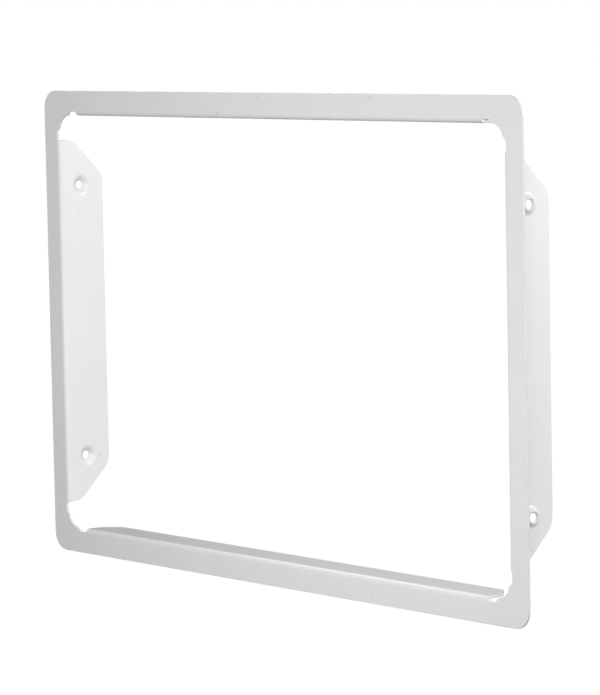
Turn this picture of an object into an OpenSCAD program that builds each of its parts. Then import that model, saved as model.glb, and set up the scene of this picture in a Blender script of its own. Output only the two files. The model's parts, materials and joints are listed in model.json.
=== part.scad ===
// Flush mounting frame folded from one sheet of steel: a trim face with two deep
// screw-fixing wings at the sides and two shallow stiffening returns above and below.
// Millimetres. +X to the right, +Y into the recess, +Z up. The origin is the middle
// of the opening, in the plane where the back of the face meets the wall.

/* [Face] */
// Outer width of the face
frame_w = 450; // [400:5:520]
// Outer height of the face
frame_h = 300; // [260:5:380]
// Width of the face, from its outer edge to the inside of a flange
rail_w = 16; // [14:0.5:20]
// Radius of the outer corners
face_corner_r = 11.5; // [6:0.5:14]
// Radius of the opening's corners
opening_corner_r = 9.5; // [8:0.5:10]

/* [Sheet] */
// Thickness of the sheet, with its coating
sheet_t = 1.5; // [1.2:0.1:1.6]
// Inside radius of each fold
fold_r = 1.5; // [1.2:0.1:2]
// Depth of a relief notch beyond the inside of the flange
notch_depth = 2.4; // [1.8:0.1:2.6]
// Length of a relief notch along the fold
notch_len = 6; // [5:0.5:7]

/* [Side wings] */
// Depth of a wing, from the front of the face
wing_depth = 33.5; // [33:0.5:45]
// Gap between the face's outer edge and the end of a wing
wing_end_gap = 32; // [32:1:40]
// Size of the 45 degree chamfer at each end of a wing
wing_chamfer = 23.5; // [18:0.5:24]
// Radius at both ends of that chamfer
wing_corner_r = 14; // [8:0.5:14]

/* [Screw dimples] */
// Bore of a screw hole
hole_d = 5.2; // [4.6:0.1:5.6]
// Distance of the holes behind the front of the face
hole_depth = 16.5; // [14:0.5:18]
// Distance between the two holes of a wing
hole_spacing = 177; // [140:1:180]
// Diameter at which the dimple starts to leave the flat wing
dimple_d = 14.4; // [14:0.1:15]
// Radius of the dimple's shoulder on the opening side
shoulder_r = 4.5; // [4:0.1:4.6]

/* [Returns] */
// Depth of a return, from the front of the face
return_depth = 22.5; // [20:0.5:28]
// Gap between the face's outer edge and the end of a return
return_end_gap = 33.5; // [33:0.5:40]
// Size of the 45 degree chamfer at each end of a return
return_chamfer = 10.5; // [8:0.5:12]
// Radius at both ends of that chamfer
return_corner_r = 5; // [2:0.5:8]

/* [Hidden] */
$fn = 96;
coat = [0.86, 0.87, 0.86];

// Half sizes of the opening, measured to the inside of the flanges
open_half_w = frame_w / 2 - rail_w;
open_half_h = frame_h / 2 - rail_w;

// The outside of a fold starts this far from the inside of its flange
fold_outer_r = fold_r + sheet_t;
// A fold ends, and the flat flange begins, at this Y
flat_start = fold_outer_r - sheet_t;

wing_h = frame_h - 2 * wing_end_gap;
wing_edge = wing_depth - sheet_t;
return_w = frame_w - 2 * return_end_gap;
return_edge = return_depth - sheet_t;

// The dimple's wall is a 45 degree cone below a rounded shoulder. Its inside would
// meet the wing's opening side at this radius if the shoulder were sharp.
cone_angle = 45;
cone_mouth_r = dimple_d / 2 - shoulder_r * tan(cone_angle / 2);
hole_r = hole_d / 2;
// Depth of the bore's mouth behind the wing's opening side
bore_mouth = cone_mouth_r - hole_r;
// Straight part of the bore; the rest of the cut edge flares outward
bore_len = 0.5;
// Thickness of the cone's wall, measured along the bore
wall_along_bore = sheet_t / cos(cone_angle);
flare = (wall_along_bore - bore_len) / 2;
// A flat collar of this radius joins the dimple to the wing, and overlaps it
collar_r = dimple_d / 2 + 1;
collar_overlap = 0.5;

// Fillet arcs are this much larger than drawn, so that they cross the edges they meet
arc_hair = 0.0005;
// The outer point of a corner piece lies this far beyond its corner
point_out = 0.5;

function unit(v) = v / norm(v);

// What a fillet of radius r takes off a convex corner. a and b are the unit
// directions of the two edges that leave the corner. The same
// piece fills a hollow corner, where its outer point lies inside the solid.
module corner_piece(corner, a, b, r) {
    half_angle = acos(a * b) / 2;
    tangent_len = r / tan(half_angle);
    centre = corner + unit(a + b) * r / sin(half_angle);
    difference() {
        polygon([corner - unit(a + b) * point_out, corner + a * tangent_len, corner + b * tangent_len]);
        translate(centre) circle(r + arc_hair);
    }
}

// A centred rectangle with filleted corners
module rounded_rect(w, h, r) {
    difference() {
        square([w, h], center = true);
        for (x = [-1, 1], z = [-1, 1])
            corner_piece([x * w / 2, z * h / 2], [-x, 0], [0, -z], r);
    }
}

// A relief notch past the end of a fold, drawn along +X from the fold's end, with
// the opening below it and a 45 degree flank at its far side
module relief_notch() {
    polygon([
        [0, -1],
        [notch_len + notch_depth, -1],
        [notch_len + notch_depth, 0],
        [notch_len, notch_depth],
        [0, notch_depth]
    ]);
}

// The opening cut in the flat face: filleted, relieved, and wider along the folds
module opening() {
    rounded_rect(2 * open_half_w, 2 * open_half_h, opening_corner_r);
    square([2 * (open_half_w + fold_outer_r), wing_h], center = true);
    square([return_w, 2 * (open_half_h + fold_outer_r)], center = true);
    for (x = [0, 1], z = [0, 1])
        mirror([x, 0]) mirror([0, z]) {
            translate([return_w / 2, open_half_h]) relief_notch();
            translate([open_half_w, wing_h / 2]) mirror([1, -1]) relief_notch();
        }
}

// A quarter fold, its axis along Z and its outside towards -X and -Y
module fold(length) {
    linear_extrude(length, center = true)
        intersection() {
            difference() {
                circle(fold_outer_r);
                circle(fold_r);
            }
            translate([-fold_outer_r, -fold_outer_r]) square(fold_outer_r);
        }
}

// A flange laid flat: X is the depth behind the wall plane, and Y runs along its fold
module flange_outline(length, edge, chamfer, corner_r) {
    end = length / 2;
    chamfer_start = edge - chamfer;
    slope = unit([1, -1]);
    difference() {
        polygon([
            [flat_start, -end],
            [chamfer_start, -end],
            [edge, chamfer - end],
            [edge, end - chamfer],
            [chamfer_start, end],
            [flat_start, end]
        ]);
        for (side = [0, 1])
            mirror([0, side]) {
                corner_piece([chamfer_start, end], [-1, 0], slope, corner_r);
                corner_piece([edge, end - chamfer], -slope, [0, -1], corner_r);
            }
    }
}

// Section of a pressed dimple: X is the radius, Y the depth behind the opening side
module dimple_section() {
    outer_mouth_r = cone_mouth_r + wall_along_bore - sheet_t;
    down_the_cone = unit([-1, 1]);
    difference() {
        polygon([
            [collar_r, 0],
            [cone_mouth_r, 0],
            [hole_r, bore_mouth],
            [hole_r, bore_mouth + bore_len],
            [hole_r + flare, bore_mouth + bore_len + flare],
            [outer_mouth_r, sheet_t],
            [collar_r, sheet_t]
        ]);
        corner_piece([cone_mouth_r, 0], [1, 0], down_the_cone, shoulder_r);
    }
    corner_piece([outer_mouth_r, sheet_t], [1, 0], down_the_cone, shoulder_r - sheet_t);
}

// The wing on the +X side, its opening side at X = 0
module wing() {
    difference() {
        rotate([90, 0, 90])
            linear_extrude(sheet_t)
                flange_outline(wing_h, wing_edge, wing_chamfer, wing_corner_r);
        at_holes() translate([0, 0, -1]) cylinder(r = collar_r - collar_overlap, h = sheet_t + 2);
    }
    at_holes() rotate_extrude() dimple_section();
    translate([fold_outer_r, flat_start, 0]) fold(wing_h);
}

// Places children at both screw holes, with +Z along the bore and away from the opening
module at_holes() {
    for (z = [-1, 1])
        translate([0, hole_depth - sheet_t, z * hole_spacing / 2]) rotate([0, 90, 0]) children();
}

// The return at the bottom, its opening side at Z = 0
module return_flange() {
    translate([0, 0, -sheet_t])
        linear_extrude(sheet_t)
            mirror([1, -1]) flange_outline(return_w, return_edge, return_chamfer, return_corner_r);
    translate([0, flat_start, -fold_outer_r]) rotate([0, 90, 0]) fold(return_w);
}

module face_plate() {
    color(coat)
        rotate([90, 0, 0])
            linear_extrude(sheet_t)
                difference() {
                    rounded_rect(frame_w, frame_h, face_corner_r);
                    opening();
                }
}

module right_wing() {
    color(coat) translate([open_half_w, 0, 0]) wing();
}

module left_wing() {
    color(coat) mirror([1, 0, 0]) translate([open_half_w, 0, 0]) wing();
}

module bottom_return() {
    color(coat) translate([0, 0, -open_half_h]) return_flange();
}

module top_return() {
    color(coat) mirror([0, 0, 1]) translate([0, 0, -open_half_h]) return_flange();
}

face_plate();
left_wing();
right_wing();
top_return();
bottom_return();
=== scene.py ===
"""Looks of the flush mounting frame: one folded sheet of steel with rounded cut edges and
a light grey powder coat, on a pale floor under soft studio light.

The sheet's sizes are in millimetres, and turn into metres when a mesh is made. Lights, camera and
floor are in metres."""

import json
import math

import bpy
import numpy as np
from mathutils import Matrix, Vector
from mathutils.geometry import delaunay_2d_cdt


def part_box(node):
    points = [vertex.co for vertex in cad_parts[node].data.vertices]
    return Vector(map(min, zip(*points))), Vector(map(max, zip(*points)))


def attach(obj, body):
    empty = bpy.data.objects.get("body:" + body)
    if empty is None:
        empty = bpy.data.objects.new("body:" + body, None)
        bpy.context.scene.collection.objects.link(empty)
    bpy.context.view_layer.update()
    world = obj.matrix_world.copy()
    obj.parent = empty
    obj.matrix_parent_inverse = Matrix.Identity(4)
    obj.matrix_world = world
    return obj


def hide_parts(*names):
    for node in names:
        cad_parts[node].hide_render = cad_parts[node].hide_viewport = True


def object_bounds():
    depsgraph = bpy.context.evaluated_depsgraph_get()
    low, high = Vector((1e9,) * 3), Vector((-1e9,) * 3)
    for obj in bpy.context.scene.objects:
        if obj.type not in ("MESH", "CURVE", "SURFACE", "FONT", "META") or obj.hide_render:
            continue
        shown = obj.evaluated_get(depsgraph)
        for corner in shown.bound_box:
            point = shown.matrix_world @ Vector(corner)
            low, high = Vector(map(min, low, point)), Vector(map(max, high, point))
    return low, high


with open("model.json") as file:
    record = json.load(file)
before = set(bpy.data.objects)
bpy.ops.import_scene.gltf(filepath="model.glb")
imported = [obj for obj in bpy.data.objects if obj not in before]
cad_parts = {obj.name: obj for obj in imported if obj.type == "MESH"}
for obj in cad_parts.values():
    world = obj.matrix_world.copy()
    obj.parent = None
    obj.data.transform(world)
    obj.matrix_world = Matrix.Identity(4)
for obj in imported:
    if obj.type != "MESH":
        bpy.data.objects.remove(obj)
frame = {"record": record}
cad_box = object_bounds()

MM = 0.001

# ---- Sizes of the sheet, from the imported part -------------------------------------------


def box_mm(node):
    """The box of a CAD node, in millimetres."""
    low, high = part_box(node)
    return low / MM, high / MM


face_low, face_high = box_mm("face_plate")
wing_low, wing_high = box_mm("right_wing")
return_low, return_high = box_mm("top_return")
mounts = {mount["name"]: mount for mount in frame["record"]["mounts"]}
screws = mounts["right_wing_screws"]

SHEET = face_high.y - face_low.y
OPEN_HALF_W = wing_low.x
OPEN_HALF_H = return_low.z
WING_HALF = wing_high.z
WING_EDGE = wing_high.y
RETURN_HALF = return_high.x
RETURN_EDGE = return_high.y

# The other sizes of the sheet, as in part.scad. No box gives them
FOLD_OUT = 3.0
FACE_CORNER_R = 11.5
OPEN_CORNER_R = 9.5
NOTCH_LEN = 6.0
NOTCH_DEPTH = 2.4
WING_CHAMFER = 23.5
WING_CORNER_R = 14.0
RETURN_CHAMFER = 10.5
RETURN_CORNER_R = 5.0
DIMPLE_R = 7.2
SHOULDER_R = 4.5
CONE = math.radians(45)

FLAT_START = FOLD_OUT - SHEET
FOLD_LEN = FOLD_OUT * math.pi / 2

# Rounding of the cut edges, under the coat
EDGE_R = 0.35
EDGE_STEPS = 3
# Radius of corners that are cut sharp
CUT_CORNER_R = 0.5

# How finely curves are divided
FOLD_STEPS = 12
ARC_STEP = math.radians(6)
HOLE_POINTS = 48
DIMPLE_RINGS = 10

# Corners that turn less than this, in radians, count as straight
STRAIGHT = 1e-6
# How far a surface is probed for its direction, and how close points have to be to merge
PROBE = 1e-3
MERGE = 1e-7


# ---- Outlines on the flat sheet ----------------------------------------------------------


def corner(x, y, radius=0.0, free=True):
    """A corner of an outline. free says that the edge after it is a cut edge, not a fold's seam."""
    return {"at": Vector((x, y)), "r": radius, "free": free}


def ring(corners, inset):
    """Points of an outline whose cut edges are moved in by inset, with the outward direction at
    each. The sheet lies on the left of the outline. Every inset gives the same number of points."""
    points = []
    for i, here in enumerate(corners):
        before, after = corners[i - 1], corners[(i + 1) % len(corners)]
        d_in = (here["at"] - before["at"]).normalized()
        d_out = (after["at"] - here["at"]).normalized()
        n_in, n_out = Vector((-d_in.y, d_in.x)), Vector((-d_out.y, d_out.x))
        move_in, move_out = inset * before["free"], inset * here["free"]
        turn = math.atan2(d_in.cross(d_out), d_in.dot(d_out))
        if abs(turn) < STRAIGHT:
            points.append((here["at"] + n_in * min(move_in, move_out), -n_in))
            continue
        # Where the two edges meet after they have moved in
        tip = here["at"] + (d_out * move_in - d_in * move_out) / math.sin(turn)
        if here["r"] == 0:
            inward = n_in * before["free"] + n_out * here["free"]
            points.append((tip, -(inward if inward.length else n_out).normalized()))
            continue
        side = math.copysign(1, turn)
        radius = here["r"] - side * inset
        centre = tip + (n_in + n_out).normalized() * side * radius / math.cos(turn / 2)
        steps = max(2, round(abs(turn) / ARC_STEP))
        for k in range(steps + 1):
            inward = Matrix.Rotation(turn * k / steps, 2) @ n_in
            points.append((centre - inward * side * radius, -inward))
    return points


def circle_ring(centre, radius, inset=0.0):
    """Points round a hole, with the outward direction of the sheet's edge, towards the centre."""
    points = []
    for k in range(HOLE_POINTS):
        angle = -2 * math.pi * k / HOLE_POINTS
        out = Vector((math.cos(angle), math.sin(angle)))
        points.append((centre + out * (radius + inset), -out))
    return points


def fold_stations(edge_along, far_first):
    """The corners along one end of a fold, from the seam with the face or, with far_first, to it.
    The face runs on past the fold's first part, so that part isn't free."""
    stations = []
    for k in range(FOLD_STEPS + 1):
        angle = math.pi / 2 * k / FOLD_STEPS
        joined = FOLD_OUT * math.sin(angle) < FOLD_OUT - NOTCH_DEPTH
        stations.append((FOLD_OUT * angle, joined))
    if far_first:
        flags = [False] + [not joined for _, joined in stations[:-1]]
        return [corner(u, edge_along, free=free) for (u, _), free in zip(stations, flags)][::-1]
    return [corner(u, edge_along, free=not joined) for u, joined in stations]


def on_flat(y):
    """Where a depth y on the flat part of a flange lies on the flat sheet."""
    return FOLD_LEN + y - FLAT_START


def flange_outline(half, edge, chamfer, radius):
    """A flange laid flat: u is the length from the seam with the face, v runs along the fold."""
    near = fold_stations(-half, far_first=False)
    far = fold_stations(half, far_first=True)
    chamfers = [(on_flat(edge - chamfer), half), (on_flat(edge), half - chamfer)]
    there = [corner(u, -v, radius) for u, v in chamfers]
    back = [corner(u, v, radius) for u, v in reversed(chamfers)]
    return near + there + back + far


def meets_circle(start, direction, centre, radius):
    """The first point of a circle on the line from start along a unit direction."""
    along = (start - centre).dot(direction)
    return start - direction * (along + math.sqrt(along**2 - (start - centre).length_squared + radius**2))


def opening_quarter():
    """A quarter of the opening: the wing's seam and notch, the corner, and the return's notch and
    seam. Each point has its place, its radius and whether the edge after it is free."""
    seam_x, seam_z = OPEN_HALF_W + FOLD_OUT, OPEN_HALF_H + FOLD_OUT
    notch_x, notch_z = OPEN_HALF_W + NOTCH_DEPTH, OPEN_HALF_H + NOTCH_DEPTH
    wing_flank = Vector((notch_x, WING_HALF + NOTCH_LEN))
    return_flank = Vector((RETURN_HALF + NOTCH_LEN, notch_z))
    centre = Vector((OPEN_HALF_W - OPEN_CORNER_R, OPEN_HALF_H - OPEN_CORNER_R))
    slope = Vector((-1, 1)).normalized()
    ends = [
        meets_circle(wing_flank, slope, centre, OPEN_CORNER_R) - centre,
        meets_circle(return_flank, -slope, centre, OPEN_CORNER_R) - centre,
    ]
    first, last = (math.atan2(end.y, end.x) for end in ends)
    steps = round((last - first) / ARC_STEP)
    arc = []
    for k in range(steps + 1):
        angle = first + (last - first) * k / steps
        on_arc = centre + OPEN_CORNER_R * Vector((math.cos(angle), math.sin(angle)))
        arc.append((*on_arc, 0, True))
    return [
        (seam_x, WING_HALF, 0, False),
        (notch_x, WING_HALF, 0, True),
        (*wing_flank, CUT_CORNER_R, True),
        *arc,
        (*return_flank, CUT_CORNER_R, True),
        (RETURN_HALF, notch_z, 0, False),
        (RETURN_HALF, seam_z, 0, False),
    ]


def face_outlines():
    """The face's outer edge, and the opening with its seams, notches and corners."""
    half_w, half_h = face_high.x, face_high.z
    signs = ((-1, -1), (1, -1), (1, 1), (-1, 1))
    outer = [corner(x * half_w, z * half_h, FACE_CORNER_R) for x, z in signs]
    quarter = opening_quarter()
    there = [(x, z, r) for x, z, r, _ in quarter]
    back = there[::-1]
    opening = there + [(-x, z, r) for x, z, r in back] + [(-x, -z, r) for x, z, r in there]
    opening += [(x, -z, r) for x, z, r in back]
    # The flags of the edges between the quarter's points, and of the seams between two quarters
    ahead = [free for *_, free in quarter[:-1]]
    flags = (ahead + [False] + ahead[::-1] + [False]) * 2
    # Turned round, so that the sheet lies on the left. Each edge's flag goes to its other end
    opening.reverse()
    flags = flags[:-1][::-1] + flags[-1:]
    return outer, [corner(x, z, r, free) for (x, z, r), free in zip(opening, flags)]


# ---- From the flat sheet to the folded one -----------------------------------------------


def folded(u, s):
    """Where a flange's point is: its distance across, away from the opening, and its depth. s is
    the depth in the sheet."""
    if u < FOLD_LEN:
        angle = u / FOLD_OUT
        radius = FOLD_OUT - s
        return FOLD_OUT - radius * math.sin(angle), FLAT_START - radius * math.cos(angle)
    return s, FLAT_START + u - FOLD_LEN


def dimpled(rho, s):
    """A dimple's section: the distance from the hole's axis, and the depth behind the opening
    side. rho is that distance on the flat sheet."""
    along = DIMPLE_R - rho
    angle = min(along / SHOULDER_R, CONE)
    straight = along - angle * SHOULDER_R
    radius = SHOULDER_R - s
    out = DIMPLE_R - radius * math.sin(angle) - straight * math.cos(CONE)
    deep = SHOULDER_R - radius * math.cos(angle) + straight * math.sin(CONE)
    return out, deep


hole_y = screws["pos_m"][1] / MM
hole_spacing = screws["dims"]["spacing_y_mm"]
hole_centres = [Vector((on_flat(hole_y), side * hole_spacing / 2)) for side in (-1, 1)]
# The cone runs on past the bore's radius, so that its rounded edge comes to that radius
cone_top_r = DIMPLE_R - SHOULDER_R * math.sin(CONE)
past_bore = (2 - math.sqrt(2)) * EDGE_R
cone_len = (cone_top_r - screws["dims"]["hole_r_mm"]) / math.cos(CONE) + past_bore
# Radius of the hole on the flat sheet
HOLE_RHO = DIMPLE_R - SHOULDER_R * CONE - cone_len


def wing_point(side):
    """The function that places a wing's points."""
    def place(p, s):
        for centre in hole_centres:
            rho = (p - centre).length
            if rho < DIMPLE_R:
                out, deep = dimpled(rho, s)
                around = (p - centre).normalized()
                x = side * (OPEN_HALF_W + deep)
                return Vector((x, hole_y + around.x * out, centre.y + around.y * out))
        across, depth = folded(p.x, s)
        return Vector((side * (OPEN_HALF_W + across), depth, p.y))
    return place


def return_point(side):
    """The function that places a return's points."""
    def place(p, s):
        across, depth = folded(p.x, s)
        return Vector((p.y, depth, side * (OPEN_HALF_H + across)))
    return place


def face_point(p, s):
    """Where a point of the face is."""
    return Vector((p.x, s - SHEET, p.y))


# ---- Meshes ------------------------------------------------------------------------------


def edge_profile():
    """Rings of a cut edge, from the front of the sheet to its back: inset, depth, and the parts
    of the normal out of the sheet's edge and through the sheet."""
    front = []
    for k in range(EDGE_STEPS + 1):
        angle = math.pi / 2 * k / EDGE_STEPS
        inset = EDGE_R * (1 - math.sin(angle))
        depth = EDGE_R * (1 - math.cos(angle))
        front.append((inset, depth, math.sin(angle), -math.cos(angle)))
    rear = [(inset, SHEET - depth, out, -through) for inset, depth, out, through in reversed(front)]
    return front + rear


def triangles_between(points, edges, segments):
    """Triangles over the points, kept where the segments enclose them by the even-odd rule, and
    the place of each given point in the result."""
    # Output type 0 holds all triangles of the convex hull
    made, _, faces, sources, _, _ = delaunay_2d_cdt(points, edges, [], 0, MERGE, True)
    tips = np.array([[made[i] for i in face] for face in faces])
    middle = tips.mean(axis=1)
    inside = np.zeros(len(faces), bool)
    for a, b in segments:
        crosses = (a.y > middle[:, 1]) != (b.y > middle[:, 1])
        with np.errstate(divide="ignore", invalid="ignore"):
            at = a.x + (middle[:, 1] - a.y) * (b.x - a.x) / (b.y - a.y)
        inside ^= crosses & (middle[:, 0] < at)
    index = {source: i for i, group in enumerate(sources) for source in group}
    return made, [face for face, kept in zip(faces, inside) if kept], index


def flat_sheet(loops, inner_rings, inner_lines):
    """The flat sheet between its loops: points, triangles and the place of each loop's points."""
    points, edges, segments = [], [], []
    for loop in [*loops, *inner_rings]:
        first = len(points)
        points += [p for p, _ in loop]
        edges += [(first + k, first + (k + 1) % len(loop)) for k in range(len(loop))]
    edges += inner_lines
    for loop in loops:
        segments += [(loop[k - 1][0], loop[k][0]) for k in range(len(loop))]
    return triangles_between(points, edges, segments)


def normal_at(place, p, s, outward, out, through):
    """The surface's direction where the edge profile has parts out and through."""
    here = place(p, s)
    direction = (place(p, s + PROBE) - here).normalized() * through
    if out:
        direction += (place(p + outward * PROBE, s) - here).normalized() * out
    return direction.normalized()


def new_piece(name, verts, faces, normals, rim):
    """A smooth object with these normals. rim is 1 on the outlines' cut edges and 0 elsewhere."""
    mesh = bpy.data.meshes.new(name)
    mesh.from_pydata([v * MM for v in verts], [], faces)
    mesh.polygons.foreach_set("use_smooth", [True] * len(mesh.polygons))
    mesh.update()
    mesh.normals_split_custom_set_from_vertices(normals)
    mesh.attributes.new("rim", "FLOAT", "POINT").data.foreach_set("value", rim)
    piece = bpy.data.objects.new(name, mesh)
    bpy.context.scene.collection.objects.link(piece)
    return piece


def sheet_piece(name, place, outlines, holes=(), inner_rings=(), inner_lines=()):
    """A closed sheet between outlines and round holes, which are functions of the inset.
    inner_rings are closed lines of points on the sheet, and inner_lines join two points of the
    first outline, by index."""
    cuts = [*outlines, *holes]
    loops = [cut(EDGE_R) for cut in cuts]
    flat, triangles, index = flat_sheet(loops, inner_rings, inner_lines)

    verts = [place(p, 0.0) for p in flat] + [place(p, SHEET) for p in flat]
    normals = [normal_at(place, p, 0.0, None, 0.0, -1.0) for p in flat]
    normals += [normal_at(place, p, SHEET, None, 0.0, 1.0) for p in flat]
    rim = [0.0] * len(verts)
    back = len(flat)
    faces = [list(face) for face in triangles]
    faces += [[back + i for i in reversed(face)] for face in triangles]

    first = 0
    for number, (cut, loop) in enumerate(zip(cuts, loops)):
        rows = [[index[first + k] for k in range(len(loop))]]
        for inset, depth, out, through in edge_profile()[1:-1]:
            rows.append([])
            for p, outward in cut(inset):
                rows[-1].append(len(verts))
                verts.append(place(p, depth))
                normals.append(normal_at(place, p, depth, outward, out, through))
                rim.append(float(number < len(outlines)))
        rows.append([back + i for i in rows[0]])
        for upper, lower in zip(rows, rows[1:]):
            faces += [[upper[k - 1], lower[k - 1], lower[k], upper[k]] for k in range(len(loop))]
        first += len(loop)

    # Some placements make the faces look into the sheet, and then all are turned over
    a, b, c = (verts[i] for i in faces[0])
    if (b - a).cross(c - a).dot(normals[faces[0][0]]) < 0:
        faces = [face[::-1] for face in faces]
    return new_piece(name, verts, faces, normals, rim)


def flange_lines(corners):
    """Lines across a flange at each step of its fold, as pairs of points of its outline."""
    total = len(ring(corners, 0.0))
    return [(k, total - 1 - k) for k in range(1, FOLD_STEPS + 1)]


def make_face():
    outer, opening = face_outlines()
    outlines = [lambda i: ring(outer, i), lambda i: ring(opening, i)]
    return sheet_piece("trim_face", face_point, outlines)


def make_wing(name, side):
    corners = flange_outline(WING_HALF, WING_EDGE, WING_CHAMFER, WING_CORNER_R)
    outlines = [lambda i: ring(corners, i)]
    holes = [lambda i, c=centre: circle_ring(c, HOLE_RHO, i) for centre in hole_centres]
    edge_of_hole = HOLE_RHO + EDGE_R
    rings = []
    for centre in hole_centres:
        for k in range(1, DIMPLE_RINGS + 1):
            radius = edge_of_hole + (DIMPLE_R - edge_of_hole) * k / DIMPLE_RINGS
            rings.append(circle_ring(centre, radius))
    return sheet_piece(name, wing_point(side), outlines, holes, rings, flange_lines(corners))


def make_return(name, side):
    corners = flange_outline(RETURN_HALF, RETURN_EDGE, RETURN_CHAMFER, RETURN_CORNER_R)
    outlines = [lambda i: ring(corners, i)]
    return sheet_piece(name, return_point(side), outlines, inner_lines=flange_lines(corners))


# ---- The powder coat ---------------------------------------------------------------------

FACE_COLOUR = (0.80, 0.80, 0.795)
FLANGE_COLOUR = (0.80, 0.80, 0.80)

# Scales count a pattern's cells in a metre. Tones multiply the colour. Ranges are the values of
# the noise at which a pattern comes to its two tones
CLOUD_SCALE = 22
CLOUD_TONES = (0.985, 1.01)
CLOUD_RANGE = (0.3, 0.7)
GRAIN_SCALE = 1400
GRAIN_TONE = (0.975, 0.975, 0.975)
GRAIN_RANGE = (0.25, 0.75)
# A speck has its full tone up to the first distance from its cell's point, and ends at the second
SPECK_SCALE = 50
SPECK_TONE = (0.87, 0.87, 0.865)
SPECK_RANGE = (0.03, 0.085)
PLAIN = (1, 1, 1)

# Along the cut edges: the scale and the least share of an uneven mask, the tone of the painted shade
# that it lays there, darker and cooler, and how much smoother the coat is there
RIM_SCALE = 180
RIM_LEAST = 0.55
RIM_SHADE_TONE = (0.955, 0.965, 0.98)
RIM_SMOOTHER = 0.12

ROUGHNESS_SCALE = 260
ROUGHNESS = (0.32, 0.40)
PEEL_SCALE = 850
PEEL_STRENGTH = 0.35
PEEL_HEIGHT = 0.00006


def powder_coat(name, colour):
    """Light grey powder coat: fine orange peel, faint clouds, a few specks of dust under the
    film, and along the cut edges a smoother film with painted shade, an uneven darker and
    cooler tone."""
    material = bpy.data.materials.new(name)
    material.use_nodes = True
    nodes, links = material.node_tree.nodes, material.node_tree.links
    shader = nodes["Principled BSDF"]
    place = nodes.new("ShaderNodeTexCoord").outputs["Object"]

    def noise(scale, detail=2):
        node = nodes.new("ShaderNodeTexNoise")
        node.inputs["Scale"].default_value = scale
        node.inputs["Detail"].default_value = detail
        links.new(place, node.inputs["Vector"])
        return node.outputs["Fac"]

    def ramp(value, positions, tones):
        node = nodes.new("ShaderNodeValToRGB")
        for element, position, tone in zip(node.color_ramp.elements, positions, tones):
            element.position = position
            element.color = (*tone, 1)
        links.new(value, node.inputs["Fac"])
        return node.outputs["Color"]

    def mix(kind, factor, a, b):
        node = nodes.new("ShaderNodeMix")
        node.data_type = "RGBA"
        node.blend_type = kind
        for value, socket in ((factor, "Factor"), (a, "A"), (b, "B")):
            if isinstance(value, bpy.types.NodeSocket):
                links.new(value, node.inputs[socket])
            else:
                node.inputs[socket].default_value = value
        return node.outputs["Result"]

    def to_range(value, low, high):
        node = nodes.new("ShaderNodeMapRange")
        node.inputs["To Min"].default_value = low
        node.inputs["To Max"].default_value = high
        links.new(value, node.inputs["Value"])
        return node.outputs["Result"]

    cloud_tones = [[c * tone for c in colour] for tone in CLOUD_TONES]
    clouds = ramp(noise(CLOUD_SCALE, detail=3), CLOUD_RANGE, cloud_tones)
    grain = ramp(noise(GRAIN_SCALE), GRAIN_RANGE, (GRAIN_TONE, PLAIN))
    cells = nodes.new("ShaderNodeTexVoronoi")
    cells.inputs["Scale"].default_value = SPECK_SCALE
    links.new(place, cells.inputs["Vector"])
    specks = ramp(cells.outputs["Distance"], SPECK_RANGE, (SPECK_TONE, PLAIN))
    film = mix("MULTIPLY", 1, mix("MULTIPLY", 1, clouds, grain), specks)

    rim = nodes.new("ShaderNodeAttribute")
    rim.attribute_name = "rim"
    edge_shade_and_smoothing = nodes.new("ShaderNodeMath")
    edge_shade_and_smoothing.operation = "MULTIPLY"
    links.new(rim.outputs["Fac"], edge_shade_and_smoothing.inputs[0])
    links.new(to_range(noise(RIM_SCALE), RIM_LEAST, 1), edge_shade_and_smoothing.inputs[1])
    # Painted shade: a darker, cooler tone mixed in along the cut edges, made uneven by the mask's noise
    through = [c * tone for c, tone in zip(colour, RIM_SHADE_TONE)]
    coloured = mix("MIX", edge_shade_and_smoothing.outputs["Value"], film, (*through, 1))
    links.new(coloured, shader.inputs["Base Color"])

    smoother = nodes.new("ShaderNodeMath")
    smoother.operation = "MULTIPLY_ADD"
    smoother.inputs[1].default_value = -RIM_SMOOTHER
    links.new(edge_shade_and_smoothing.outputs["Value"], smoother.inputs[0])
    links.new(to_range(noise(ROUGHNESS_SCALE), *ROUGHNESS), smoother.inputs[2])
    links.new(smoother.outputs["Value"], shader.inputs["Roughness"])

    peel = nodes.new("ShaderNodeBump")
    peel.inputs["Strength"].default_value = PEEL_STRENGTH
    peel.inputs["Distance"].default_value = PEEL_HEIGHT
    links.new(noise(PEEL_SCALE), peel.inputs["Height"])
    links.new(peel.outputs["Normal"], shader.inputs["Normal"])
    return material


PIECES = [
    (make_face(), "face_plate", "face_coat"),
    (make_wing("left_wing_panel", -1), "left_wing", "wing_coat"),
    (make_wing("right_wing_panel", 1), "right_wing", "wing_coat"),
    (make_return("top_return_panel", 1), "top_return", "return_coat"),
    (make_return("bottom_return_panel", -1), "bottom_return", "return_coat"),
]
COATS = {
    "face_coat": powder_coat("face_coat", FACE_COLOUR),
    "wing_coat": powder_coat("wing_coat", FLANGE_COLOUR),
    "return_coat": powder_coat("return_coat", FLANGE_COLOUR),
}
for piece, node, slot in PIECES:
    piece.data.materials.append(COATS[slot])
    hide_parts(node)
    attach(piece, "root")


# ---- Floor, light and camera -------------------------------------------------------------

FLOOR_HALF = 12.0
# A trace above full white, so that the floor comes out white without eating into the edges
FLOOR_GLOW = 1.02
# Grey light from all round
FILL = 0.2

WARM = (1.0, 0.997, 0.975)
NEUTRAL = (1, 1, 1)
COOL = (0.975, 1.0, 1.01)
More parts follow.
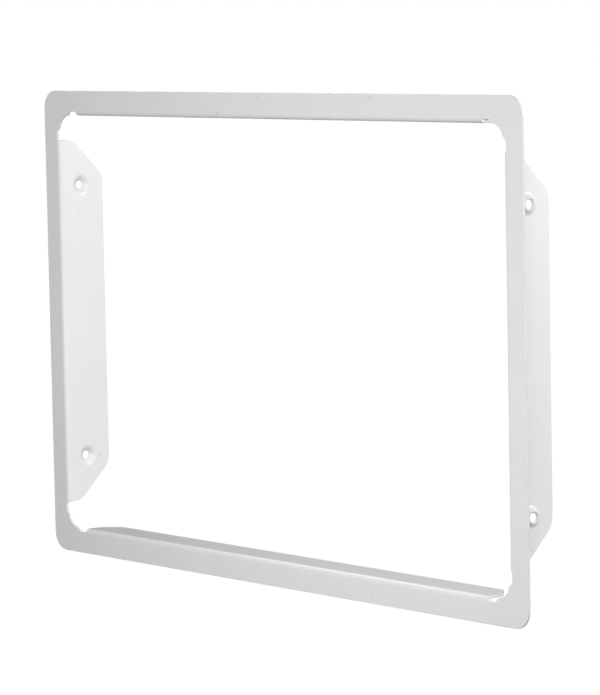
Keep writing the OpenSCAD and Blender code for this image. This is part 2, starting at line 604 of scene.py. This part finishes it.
# Azimuth from +X towards +Y and elevation in degrees, distance and size in metres, power in
# watts, and colour
SOFTBOXES = {
    "front_right": (-45, 32, 1.6, 0.5, 6.9, WARM),
    "front_left": (-105, 20, 1.4, 0.8, 1.2, WARM),
    "low_right": (-70, -8, 0.45, 0.25, 0.44, WARM),
    "low_left": (-85, 0, 0.6, 0.3, 1.06, WARM),
    "right_front": (-25, 8, 1.6, 0.8, 4.6, NEUTRAL),
    "right_back": (40, 19, 1.6, 0.8, 16.2, COOL),
    "left_high": (174, 41, 1.5, 0.5, 6.9, COOL),
}

# The camera of the photograph: its lens and sensor in millimetres, its place, and its angles
LENS = 184.2
SENSOR = 36
CLIP_NEAR = 0.05
CLIP_FAR = 60
CAMERA_AT = (1.65599, -1.35851, 0.20210)
CAMERA_TURN = 50.163
CAMERA_DOWN = 5.505
CAMERA_ROLL = -1.128


def make_floor():
    mesh = bpy.data.meshes.new("floor")
    z = cad_box[0].z
    corners = [(x * FLOOR_HALF, y * FLOOR_HALF, z) for x, y in ((-1, -1), (1, -1), (1, 1), (-1, 1))]
    mesh.from_pydata(corners, [], [(0, 1, 2, 3)])
    floor = bpy.data.objects.new("floor", mesh)
    bpy.context.scene.collection.objects.link(floor)
    material = bpy.data.materials.new("pale_floor")
    material.use_nodes = True
    shader = material.node_tree.nodes["Principled BSDF"]
    shader.inputs["Base Color"].default_value = (0, 0, 0, 1)
    shader.inputs["Specular IOR Level"].default_value = 0
    shader.inputs["Emission Color"].default_value = (1, 1, 1, 1)
    shader.inputs["Emission Strength"].default_value = FLOOR_GLOW
    floor.data.materials.append(material)
    floor.visible_diffuse = False
    floor.visible_glossy = False


def make_world():
    """White to the camera, and a dimmer grey as a light from all round."""
    world = bpy.data.worlds.new("studio")
    world.use_nodes = True
    bpy.context.scene.world = world
    nodes, links = world.node_tree.nodes, world.node_tree.links
    nodes["Background"].inputs["Color"].default_value = (FILL, FILL, FILL, 1)
    white = nodes.new("ShaderNodeBackground")
    white.inputs["Color"].default_value = (1, 1, 1, 1)
    seen = nodes.new("ShaderNodeLightPath")
    mix = nodes.new("ShaderNodeMixShader")
    links.new(seen.outputs["Is Camera Ray"], mix.inputs["Fac"])
    links.new(nodes["Background"].outputs["Background"], mix.inputs[1])
    links.new(white.outputs["Background"], mix.inputs[2])
    links.new(mix.outputs["Shader"], nodes["World Output"].inputs["Surface"])


def softbox(name, azimuth, elevation, distance, size, power, colour):
    """A square softbox aimed at the frame's middle."""
    light = bpy.data.lights.new(name, "AREA")
    light.size = size
    light.energy = power
    light.color = colour
    holder = bpy.data.objects.new(name, light)
    turn = math.radians(azimuth)
    across = distance * math.cos(math.radians(elevation))
    up = distance * math.sin(math.radians(elevation))
    at = Vector((across * math.cos(turn), across * math.sin(turn), up))
    holder.location = at
    holder.rotation_euler = (-at).to_track_quat("-Z", "Y").to_euler()
    bpy.context.scene.collection.objects.link(holder)


def make_camera():
    data = bpy.data.cameras.new("camera")
    data.lens = LENS
    data.sensor_width = SENSOR
    data.clip_start = CLIP_NEAR
    data.clip_end = CLIP_FAR
    camera = bpy.data.objects.new("camera", data)
    turn = Matrix.Rotation(math.radians(CAMERA_TURN), 4, "Z")
    tilt = Matrix.Rotation(math.radians(90 - CAMERA_DOWN), 4, "X")
    roll = Matrix.Rotation(math.radians(CAMERA_ROLL), 4, "Z")
    camera.matrix_world = Matrix.Translation(CAMERA_AT) @ turn @ tilt @ roll
    bpy.context.scene.collection.objects.link(camera)
    bpy.context.scene.camera = camera


make_floor()
make_world()
for name, settings in SOFTBOXES.items():
    softbox(name, *settings)
make_camera()
bpy.context.scene.view_settings.view_transform = "Standard"
